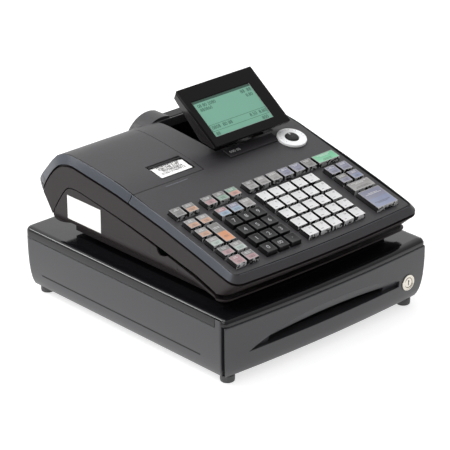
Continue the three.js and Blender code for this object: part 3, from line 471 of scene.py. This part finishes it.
# ---------------------------------------------------------------- camera, light and floor
CAMERA_AZIMUTH, CAMERA_ELEVATION, CAMERA_ROLL = [math.radians(angle) for angle in (-42.56, 24.39, -0.37)]
CAMERA_DISTANCE = 3.7276
CAMERA_AIM_HEIGHT = 124.6
CAMERA_OFFSET_X, CAMERA_OFFSET_Y = -0.00069404, 0.00133563  # shares of the distance
SENSOR, LENS = 36.0, 198.2592
SKY_FROM = (0.35, 0.85, 0.25)  # where the sky is brightest
SKY_SPAN, SKY_LEVELS = (-0.6, 0.9), (0.35, 1.15)
LIGHTS = (  # name, place, aim, size and power
    ("overhead", (-0.6, 0.5, 2.2), (0, 0, 0.1), (2.2, 1.6), 30),
    ("left", (-2.0, -0.6, 1.2), (0, 0, 0.1), (1.2, 1.2), 8),
    ("edge", (-1.24, 2.0, 1.85), (-0.1, 0, 0.1), (0.5, 0.9), 16),
)
FLOOR_HALF, FLOOR_HEIGHT, FLOOR_SHADE, FLOOR_GLOW = 8.0, -0.0003, 0.55, 1.25


def camera():
    """The camera stands in front of the register, on the operator's left, and looks slightly down."""
    level = math.cos(CAMERA_ELEVATION)
    back = Vector((
        math.sin(CAMERA_AZIMUTH) * level, -math.cos(CAMERA_AZIMUTH) * level, math.sin(CAMERA_ELEVATION)))
    right = Vector((math.cos(CAMERA_AZIMUTH), math.sin(CAMERA_AZIMUTH), 0))
    up = back.cross(right)
    cosine, sine = math.cos(CAMERA_ROLL), math.sin(CAMERA_ROLL)
    right, up = cosine * right + sine * up, cosine * up - sine * right
    target = Vector((0, SHIFT_Y, CAMERA_AIM_HEIGHT)) * MM
    place = target + CAMERA_DISTANCE * (back - CAMERA_OFFSET_X * right - CAMERA_OFFSET_Y * up)
    data = bpy.data.cameras.new("camera")
    data.sensor_width = SENSOR
    data.lens = LENS
    data.clip_end = 50.0
    holder = bpy.data.objects.new("camera", data)
    holder.matrix_world = Matrix.Translation(place) @ Matrix((right, up, back)).transposed().to_4x4()
    bpy.context.scene.collection.objects.link(holder)
    bpy.context.scene.camera = holder


def area_light(name, place, towards, size, power):
    """A soft rectangular light at place that shines towards a point."""
    data = bpy.data.lights.new(name, "AREA")
    data.shape = "RECTANGLE"
    data.size, data.size_y = size
    data.energy = power
    holder = bpy.data.objects.new(name, data)
    aim = Vector(towards) - Vector(place)
    holder.matrix_world = Matrix.Translation(place) @ aim.to_track_quat("-Z", "Y").to_matrix().to_4x4()
    bpy.context.scene.collection.objects.link(holder)


def studio():
    """A pale sky that is brighter behind the register, three soft lights and a pale floor."""
    world = bpy.data.worlds.new("studio")
    bpy.context.scene.world = world
    world.use_nodes = True
    nodes, links = world.node_tree.nodes, world.node_tree.links
    backdrop = nodes["Background"]
    backdrop.inputs["Color"].default_value = (1, 1, 1, 1)
    place = nodes.new("ShaderNodeTexCoord")
    aim = nodes.new("ShaderNodeVectorMath")
    aim.operation = "DOT_PRODUCT"
    aim.inputs[1].default_value = SKY_FROM
    links.new(place.outputs["Generated"], aim.inputs[0])
    level = nodes.new("ShaderNodeMapRange")
    level.inputs["From Min"].default_value, level.inputs["From Max"].default_value = SKY_SPAN
    level.inputs["To Min"].default_value, level.inputs["To Max"].default_value = SKY_LEVELS
    links.new(aim.outputs["Value"], level.inputs["Value"])
    links.new(level.outputs["Result"], backdrop.inputs["Strength"])
    for light in LIGHTS:
        area_light(*light)
    floor_mesh = bpy.data.meshes.new("floor")
    bm = bmesh.new()
    bmesh.ops.create_grid(bm, x_segments=1, y_segments=1, size=FLOOR_HALF)
    bm.to_mesh(floor_mesh)
    bm.free()
    shade = (FLOOR_SHADE, FLOOR_SHADE, FLOOR_SHADE, 1)
    paper = surface("floor_paper", shade, 0.9, mottle=0.0, spread=0.0, specular=0.1, glow=FLOOR_GLOW)
    floor_mesh.materials.append(paper)
    floor = bpy.data.objects.new("floor", floor_mesh)
    floor.location.z = FLOOR_HEIGHT
    bpy.context.scene.collection.objects.link(floor)
    bpy.context.scene.view_settings.view_transform = "Standard"


# ---------------------------------------------------------------- keyboard
def key_place(x, row, wide=1, tall=1):
    """Middle of a key on the deck, and the size of its foot."""
    middle_x = x + KEY_TOP / 2 + (wide - 1) * PITCH_X / 2
    middle_s = -(row * PITCH_Y + KEY_TOP / 2 + (tall - 1) * PITCH_Y / 2)
    width = KEY_BASE + (wide - 1) * PITCH_X
    depth = KEY_BASE + (tall - 1) * PITCH_Y
    return middle_x, middle_s, width, depth


def key_cap(bm, x, s, width, depth, faces):
    """Adds one key: a tapered cap with rounded edges, whose top shows an insert in two halves.

    faces are the material indexes of the insert's rear and front half."""
    cap = bmesh.new()
    bmesh.ops.create_cube(cap, size=1.0)
    taper = KEY_BASE - KEY_TOP
    for vert in cap.verts:
        top = vert.co.z > 0
        vert.co.x *= width - (taper if top else 0)
        vert.co.y *= depth - (taper if top else 0)
        vert.co.z = KEY_RISE if top else KEY_FOOT
    bmesh.ops.bevel(
        cap, geom=list(cap.edges), offset=KEY_ROUNDING, segments=2, affect="EDGES", profile=0.6)
    # Upward faces take the rim (0); front faces (2) and other sides (1) take the painted highlights and the
    # painted shade on clear and white keys.
    for face in cap.faces:
        upright = face.normal.z < KEY_UPRIGHT
        face.material_index = (2 if face.normal.y < KEY_FRONT_FACING else 1) if upright else 0
    crown = [face for face in cap.faces if face.normal.z > KEY_LEVEL]
    bmesh.ops.inset_region(cap, faces=crown, thickness=INSERT_RIM, depth=-INSERT_DEPTH)
    insert = [item for face in crown for item in (face, *face.edges, *face.verts)]
    bmesh.ops.bisect_plane(cap, geom=list(set(insert)), plane_co=(0, INSERT_SPLIT, 0), plane_no=(0, 1, 0))
    for face in cap.faces:
        middle = face.calc_center_median()
        near_top = face.normal.z > KEY_LEVEL and abs(middle.z - KEY_RISE) < 2 * INSERT_DEPTH
        if near_top and face.calc_area() > INSERT_LEAST_AREA:
            face.material_index = faces[0] if middle.y > INSERT_SPLIT else faces[1]
    bmesh.ops.translate(cap, verts=cap.verts, vec=(x, s, 0))
    spare = bpy.data.meshes.new("spare")
    cap.to_mesh(spare)
    cap.free()
    bm.from_mesh(spare)
    bpy.data.meshes.remove(spare)


def dashes(bm, x, s, width, rows, material, seed):
    """Adds short printed bars on a key in place of its words."""
    chance = random.Random(seed)
    for row in range(rows):
        reach = width * chance.uniform(*BAR_SHARES) / 2
        y = s - row * BAR_PITCH
        box(bm, x - reach, x + reach, y - BAR_HALF, y + BAR_HALF, *BAR_LEVELS, material)


def corner_legend(bm, x, s, width, depth, number, seed):
    """Adds the number in the rear right corner of a white key, and the bar at its front left."""
    right, rear = x + width / 2 - 5.8, s + depth / 2 - 5.2
    lettering(bm, str(number), 4.4, right, rear, PRINT_LEVEL, KEY_INK)
    dashes(bm, x - 3.5, s - depth / 4, 7.0, 1, KEY_INK, seed)


def insert_legend(bm, x, s, width, depth, seed):
    """Adds two rows of bars on each half of a key's insert."""
    span = width - 8
    dashes(bm, x, s + depth / 4 + 1.0, span, 2, KEY_PALE, seed)
    dashes(bm, x, s - depth / 4 + 1.6, span, 2, KEY_INK, seed + 1)


def key_field(node, keys, rim="clear", legend=None):
    """Builds the keys of one CAD node. keys holds (x, row, columns, rows, rear look, front look)."""
    looks = sorted({look for key in keys for look in key[4:6]})
    black = rim == "black"
    # Black keys are black all round; the others get painted shade on their sides and painted highlights on
    # their fronts.
    sides = [KEY_RIM[rim], KEY_RIM[rim]] if black else [KEY_SIDE_SHADE, KEY_FRONT_HIGHLIGHTS]
    materials = [KEY_RIM[rim], *sides, INK, KEY_DIGIT if black else DIGIT]
    first = len(materials)
    materials += [KEY_FACE[look] for look in looks]
    bm = bmesh.new()
    for number, (column, row, wide, tall, rear, front) in enumerate(keys):
        x, s, width, depth = key_place(column, row, wide, tall)
        key_cap(bm, x, s, width, depth, (first + looks.index(rear), first + looks.index(front)))
        if legend == "corner":
            corner_legend(bm, x, s, width, depth, number + 1, hash_of(node, number))
        elif legend:
            size = DIGIT_SIZE if len(legend) == 1 else TWO_DIGIT_SIZE
            lettering(bm, legend, size, x, s, PRINT_LEVEL, KEY_PALE)
        else:
            insert_legend(bm, x, s, width, depth, hash_of(node, number))
    body = frame["nodes"][node]["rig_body"]
    return add_object(node + "_caps", mesh_from(bm, node + "_caps", DECK), materials, body, [node])


def hash_of(name, number):
    """A steady seed for a piece's name and number."""
    return sum(ord(letter) * (place + 1) for place, letter in enumerate(name)) * 31 + number


def row_of(column, row, looks):
    """A row of single keys that starts at a column."""
    return [(column + i * PITCH_X, row, 1, 1, *pair) for i, pair in enumerate(looks)]


def keyboard():
    """All the keys, node by node."""
    white = ("white", "white")
    key_field("department_keys",
              [key for row in range(5) for key in row_of(COLUMN_DEPARTMENTS, row, [white] * 5)],
              rim="white", legend="corner")
    key_field("back_row_keys", [
        *row_of(COLUMN_LEFT, BACK_ROW, [("grey", "grey"), ("grey", "peach")]),
        *row_of(COLUMN_NUMBERS, BACK_ROW, [("grey", "pink"), ("grey", "mint"), ("mint", "salmon")]),
        *row_of(COLUMN_DEPARTMENTS, BACK_ROW, [
            ("grey", "pale"), ("pale", "pale"), ("pale", "pale"), ("lavender", "lavender"),
            ("lavender", "lavender"), ("grey", "grey"),
        ]),
    ])
    second = COLUMN_LEFT + PITCH_X
    key_field("left_keys", [
        (COLUMN_LEFT, 0, 1, 1, "pale", "peach"),
        (COLUMN_LEFT, 1, 1, 1, "pale", "peach"),
        (COLUMN_LEFT, 2, 1, 1, "pale", "pale mint"),
        (COLUMN_LEFT, 3, 1, 1, "grey", "pink"),
        (COLUMN_LEFT, 4, 1, 1, "pink", "pink"),
        (second, 0, 1, 1, "pale", "peach"),
        (second, 3, 1, 1, "pale", "pale mint"),
        (second, 4, 1, 1, "grey", "pink"),
    ])
    key_field("feed_key", [(second, 1, 1, 2, "grey", "orange")])
    key_field("upper_number_keys",
              row_of(COLUMN_NUMBERS, 0, [("pink", "ice"), ("lavender", "ice"), ("pale", "pale")]))
    key_field("right_keys", [
        *row_of(COLUMN_RIGHT, 0, [("lavender", "lavender"), ("lavender", "lavender")]),
        *row_of(COLUMN_RIGHT, 1, [("grey", "lavender"), ("lavender", "blue")]),
    ])
    green = (COLUMN_RIGHT + GREEN_KEY_OFFSET, BACK_ROW, 2, 1, "green", "green")
    key_field("green_key", [green])
    key_field("subtotal_key", [(COLUMN_RIGHT, 2, 2, 1, "pale", "pale")])
    key_field("total_key", [(COLUMN_RIGHT, 3, 2, 2, "lavender", "blue")])
    digits = [["7", "8", "9"], ["4", "5", "6"], ["1", "2", "3"], ["0", "00", "point"]]
    for r, row in enumerate(digits):
        for c, digit in enumerate(row):
            sign = "·" if digit == "point" else digit
            key = (COLUMN_NUMBERS + c * PITCH_X, r + 1, 1, 1, "black", "black")
            key_field(f"number_key_{digit}", [key], rim="black", legend=sign)


# ---------------------------------------------------------------- displays
SCREEN_TEXT = (  # text, size, and place of its middle
    ("08 80 2080", 8.0, -41.0, 73.0),
    ("880860", 8.0, -47.0, 65.5),
    ("88", 9.0, 33.0, 73.5),
    ("88", 9.0, 46.0, 73.5),
    ("8.80", 8.0, 41.0, 65.0),
    ("0808", 8.5, -52.0, 31.5),
    ("80 88", 8.5, -29.0, 31.5),
    ("8.50", 8.5, 24.0, 31.5),
    ("8.80", 8.5, 43.0, 31.5),
    ("88", 8.0, -56.0, 20.0),
    ("800", 8.5, 40.0, 20.0),
)


def screen():
    """The liquid crystal pane with its generic figures, rules and boxes, and a dark top band that is partly
    painted shadow of the bezel.
    """
    x0, x1, y0, y1 = SCREEN
    low, high = SCREEN_BOX
    left, right, half = x0 + 2, x1 - 2, 0.25
    ink = (SCREEN_FACE - 0.1, SCREEN_FACE + 0.08, 1)
    bm = bmesh.new()
    box(bm, x0 + 0.4, x1 - 0.4, y0 + 0.4, y1 - 0.4, -6.0, SCREEN_FACE)
    box(bm, x0 - 2, x1 + 2, y0 - 2, y1 + 2, -8.0, -5.5)
    # Dark band along the pane's top edge: the header row, and painted shadow of the bezel over it.
    box(bm, x0 + 0.6, x1 - 0.6, y1 - 4.6, y1 - 0.5, *ink)
    for y in (high, low):
        box(bm, left, right, y - half, y + half, *ink)
    for x in (left, right):
        box(bm, x - half, x + half, low, high, *ink)
    for text, size, x, y in SCREEN_TEXT:
        lettering(bm, text, size, x, y, SCREEN_FACE + 0.04, 1)
    mesh = mesh_from(bm, "screen", DISPLAY)
    add_object("screen", mesh, [LCD, LCD_INK], "operator_display", ["display_panel"])


def screen_rim():
    """A painted highlight: a thin pale line round the pane, on the edge of its opening, standing for the
    light caught by the glass's edges.
    """
    x0, x1, y0, y1 = SCREEN
    bm = bmesh.new()
    for strip in ((x0, x0 + 0.7, y0, y1), (x0, x1, y0, y0 + 0.6), (x1 - 0.5, x1, y0, y1)):
        box(bm, *strip, -2.0, -0.9)
    mesh = mesh_from(bm, "screen_rim", DISPLAY)
    add_object("screen_rim", mesh, [KEY_FACE["pale mint"]], "operator_display")


# ---------------------------------------------------------------- switches and lock
def mode_switch():
    """The white ring with its numbered places, and the dark rotor with its pointer."""
    bm = bmesh.new()
    inner, outer = MODE_ROTOR + 0.6, MODE_RING
    section = [
        (inner, 0.4), (outer, 0.4), (outer, 3.2), (outer - 0.5, 4.0),
        (outer - 1.6, MODE_FACE), (inner + 2.4, MODE_FACE), (inner + 0.5, 3.9), (inner, 3.2),
    ]
    ring(bm, section, (MODE_X, MODE_S, 0))
    radius = (outer + inner) / 2 + 1.5
    for i in range(MODE_PLACES):
        angle = math.radians(MODE_FIRST - i * MODE_STEP)
        x, s = MODE_X + radius * math.cos(angle), MODE_S + radius * math.sin(angle)
        lettering(bm, str(i % 10), 2.6, x, s, MODE_FACE + 0.02, 1, turn=angle - math.pi / 2)
    mesh = mesh_from(bm, "mode_ring_face", DECK)
    add_object("mode_ring_face", mesh, [WHITE, INK], "base", ["mode_ring"])

    bm = bmesh.new()
    rotor = MODE_ROTOR
    profile = [(0, -4), (rotor, -4), (rotor, 4.6), (rotor - 0.8, 5.5), (rotor - 3, 5.9), (0, 5.9)]
    lathe(bm, profile, (MODE_X, MODE_S, 0))
    box(bm, MODE_X - 1.0, MODE_X + 1.0, MODE_S + 4.5, MODE_S + 10.0, 5.6, 6.05, 1)
    box(bm, MODE_X - 0.8, MODE_X + 0.8, MODE_S - 3.6, MODE_S + 2.2, 5.7, 5.96, 2)
    mesh = mesh_from(bm, "mode_rotor_knob", DECK)
    add_object("mode_rotor_knob", mesh, [DARK, DIGIT, GLOSS], "mode_rotor", ["mode_rotor"])


def lock():
    """The drawer's lock: a polished flange, a sleeve and a rotor with its keyway."""
    face, bore, sleeve, flange = FLANGE_FACE, 7.9, 10, 12.5
    section = [
        (bore, face - 18), (sleeve, face - 18), (sleeve, face - 2.2), (flange, face - 2.2),
        (flange, face - 0.8), (flange - 0.5, face - 0.1), (10.6, face + 0.1), (10.0, face - 0.5),
        (8.9, face - 0.5), (8.3, face - 0.1), (bore, face - 0.6),
    ]
    bm = bmesh.new()
    ring(bm, section, (LOCK_X, 0, LOCK_Z), axis="Y")
    mesh = mesh_from(bm, "lock_flange", WORLD)
    add_object("lock_flange", mesh, [CHROME], "drawer", ["lock_body"])

    front, rotor = ROTOR_FACE, 7.5
    profile = [(0, front - 24), (rotor, front - 24), (rotor, front - 0.5), (rotor - 0.5, front), (0, front)]
    keyway = (-front - 0.06, -front + 1)
    bm = bmesh.new()
    lathe(bm, profile, (LOCK_X, 0, LOCK_Z), axis="Y")
    box(bm, LOCK_X - 4, LOCK_X + 4, -front + 22, -front + 25, LOCK_Z - 7, LOCK_Z + 15)
    box(bm, LOCK_X - 0.8, LOCK_X + 0.8, *keyway, LOCK_Z - 4.2, LOCK_Z + 4.2, 1)
    box(bm, LOCK_X + 0.8, LOCK_X + 2.2, *keyway, LOCK_Z + 1.6, LOCK_Z + 3.0, 1)
    mesh = mesh_from(bm, "lock_rotor", WORLD)
    add_object("lock_rotor", mesh, [CHROME, DARK], "lock_cylinder", ["lock_cylinder"])


# ---------------------------------------------------------------- paper, label and small marks
def receipt():
    """Printed rows on the paper in the window, and the toothed bar that tears it."""
    bm = bmesh.new()
    chance = random.Random(7)
    paper = leaning((PAPER_X, 0, deck_plane(0) - PAPER_DROP), DECK_ANGLE)
    for row in range(PRINT_ROWS):
        text = "".join(chance.choice("0123456789 ") for _ in range(PRINT_COLUMNS))
        lettering(bm, text, PRINT_SIZE, 0, PRINT_START + row * PRINT_PITCH, 0.3, 0, depth=0.1)
    add_object("receipt_print", mesh_from(bm, "receipt_print", paper), [PRINT], "base")

    bm = bmesh.new()
    for i in range(TEAR_TEETH):
        left = -TEAR_HALF + 2 * TEAR_HALF * i / TEAR_TEETH
        right, tip = left + TOOTH_WIDTH, TEAR_Y - TOOTH_REACH
        verts = [bm.verts.new(corner) for corner in (
            (left, TEAR_Y, TEAR_LOW), (right, TEAR_Y, TEAR_LOW), (left + TOOTH_WIDTH / 2, tip, -0.2),
            (left, TEAR_Y, TEAR_HIGH), (right, TEAR_Y, TEAR_HIGH))]
        for loop in ((0, 2, 1), (3, 4, 2), (0, 3, 2), (1, 2, 4), (0, 1, 4, 3)):
            bm.faces.new([verts[k] for k in loop])
    box(bm, -TEAR_HALF, TEAR_HALF, TEAR_Y - 0.1, TEAR_BACK, TEAR_LOW, TEAR_HIGH)
    add_object("tear_bar", mesh_from(bm, "tear_bar", paper), [DARK], "base")


def mark(name, boxes, place, material, bevel=0.0):
    """A small piece of the register's base, made of boxes."""
    bm = bmesh.new()
    for limits in boxes:
        box(bm, *limits, bevel=bevel)
    add_object(name, mesh_from(bm, name, place), [material], "base")


def marks():
    """The label, the joint lines, grooves and gaps of the mouldings, the painted shadow under the name
    strip, and the rear's air slots.
    """
    bm = bmesh.new()
    lettering(bm, "000 00", 7.5, 33.0, 105.5, 2.42, 0)
    add_object("strip_marks", mesh_from(bm, "strip_marks", DECK), [DIGIT], "base")
    # Painted shadow under the name strip.
    mark("strip_painted_shadow", [STRIP_SHADOW], DECK, DARK)
    mark("side_label", [SIDE_LABEL], WORLD, PAPER, bevel=0.12)

    half = CASE_JOINT_HALF
    joints = [(*CASE_JOINT_X, y - half, y + half, low, high) for y, low, high in CASE_JOINTS]
    mark("case_joint_lines", joints, WORLD, DARK)
    near, far = CABINET_GROOVE_X
    grooves = [(-far, -near, *CABINET_GROOVE), (near, far, *CABINET_GROOVE)]
    mark("cabinet_side_grooves", grooves, WORLD, DARK)

    front, rear, rib = deck_run(COVER_FRONT_Y), deck_run(COVER_REAR_Y), deck_run(RIB_Y)
    seams = [
        (COVER_LEFT, COVER_RIGHT, front - 0.55, front + 0.35, -0.3, 0.08),
        (COVER_RIGHT - 0.5, COVER_RIGHT + 0.9, front, rear, -0.3, 0.08),
    ]
    mark("cover_seam", seams, DECK, DARK)
    rib_box = (*RIB_X, rib - RIB_HALF, rib + RIB_HALF, -0.3, 0.25)
    # The rib takes the lip's colour, a painted highlight.
    mark("cover_finger_rib", [rib_box], DECK, LIP_HIGHLIGHT, bevel=0.12)
    well = [WELL_WALL] + [(*part, *WELL_FLOOR) for part in WELL_FLOOR_PARTS]
    mark("display_well_wall", well, WORLD, DARK)

    lefts = [SLOT_LEFT + i * SLOT_PITCH for i in range(SLOT_COLUMNS)]
    slots = [(x, x + SLOT_WIDTH, up, up + SLOT_TALL, -0.12, 0.4) for x in lefts for up in SLOT_ROWS]
    mark("air_slots", slots, BACK_PANEL, DARK)


def base_screws():
    """The four screw heads on the underside."""
    profile = [(0, SCREW_LOW), (SCREW_RADIUS, SCREW_LOW), (SCREW_RADIUS, SCREW_HIGH), (0, SCREW_HIGH)]
    bm = bmesh.new()
    for x in (-SCREW_X, SCREW_X):
        for y in (-SCREW_Y, SCREW_Y):
            lathe(bm, profile, (x, y, 0), steps=24)
    add_object("base_screws", mesh_from(bm, "base_screws", WORLD), [STEEL], "base")


# ---------------------------------------------------------------- run
SKINS = {  # CAD node: material, slot and width of the rounding
    "cabinet_shell": (CABINET, "cabinet", 0.8),
    "cabinet_cover": (COVER_TOP, "cabinet", 1.4),
    "drawer_front": (CABINET, "cabinet", 0.7),
    "lower_case": (CASING_SIDE_SHADED, "casing", 0.6),
    "middle_case": (CASING_SIDE_SHADED, "casing", 0.5),
    "top_case": (CASING, "casing", 0.6),
    "printer_cover": (CASING, "casing", 0.6),
    "name_strip": (STRIP, "casing", 0.3),
    "display_back": (GLOSS, "gloss_black", 0.9),
    "display_bezel": (BEZEL, "gloss_black", 0.5),
    "display_neck": (GLOSS, "gloss_black", 0.5),
    "customer_display_mast": (GLOSS, "gloss_black", 0.4),
    "customer_display_head": (BEZEL, "gloss_black", 0.8),
    "customer_display_window": (GLOSS, "dark_window", 0.2),
    "drawer_tray": (STEEL, "steel", 0.2),
    "cash_insert": (INSERT, "insert", 0.4),
    "receipt_paper": (PAPER, "paper", 0.05),
    "paper_roll": (PAPER, "paper", 0.3),
    "platen_roller": (RUBBER, "roller_rubber", 0.2),
    "printer_mechanism": (DARK, "black_plastic", 0.4),
    "power_inlet": (DARK, "black_plastic", 0.3),
    "main_board": (BOARD, "circuit_board", 0.1),
    "key_switch_board": (BOARD, "circuit_board", 0.1),
    "slide_rail_left": (STEEL, "steel", 0.2),
    "slide_rail_right": (STEEL, "steel", 0.2),
    "drawer_latch": (STEEL, "steel", 0.3),
}
SKINS.update({f"bill_clip_{i}": (STEEL, "steel", 0.15) for i in range(1, 5)})
for foot in ("front_left", "front_right", "rear_left", "rear_right"):
    SKINS["foot_" + foot] = (FOOT, "feet", 1.6)
for node, (material, slot, width) in SKINS.items():
    refine(node, material, width)
keyboard()
screen()
screen_rim()
mode_switch()
lock()
receipt()
marks()
base_screws()
camera()
studio()
